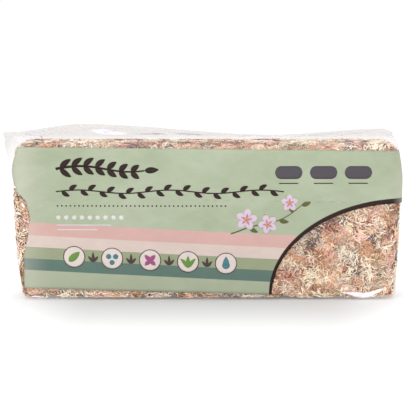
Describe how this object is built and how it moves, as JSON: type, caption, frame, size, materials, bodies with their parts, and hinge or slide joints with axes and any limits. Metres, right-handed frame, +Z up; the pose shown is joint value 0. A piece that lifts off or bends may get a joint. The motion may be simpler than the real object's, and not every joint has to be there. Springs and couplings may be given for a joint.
{
  "type": "sphagnum moss clump",
  "caption": "Pressed brick of dried long-fibre sphagnum moss standing on its long edge in a clear film bag, with a printed layer on the bag's front and a window in it.",
  "frame": {"origin": "middle of the bag's flat foot, which stands on the surface", "axes": "+Z up, +X along the brick's length towards the end with the window, and +Y through its thickness towards the back, so the printed front faces -Y"},
  "size_m": [0.3383, 0.0491, 0.148],
  "materials": {
    "dried_moss": "dry matted plant fibre, straw to pinkish tan, matt",
    "clear_film": "thin clear film with soft creases",
    "printed_film": "opaque sage green print, satin"
  },
  "bodies": {
    "root": {"moss_block": "dried_moss", "film_bag": "clear_film", "front_label": "printed_film"}
  },
  "joints": []
}
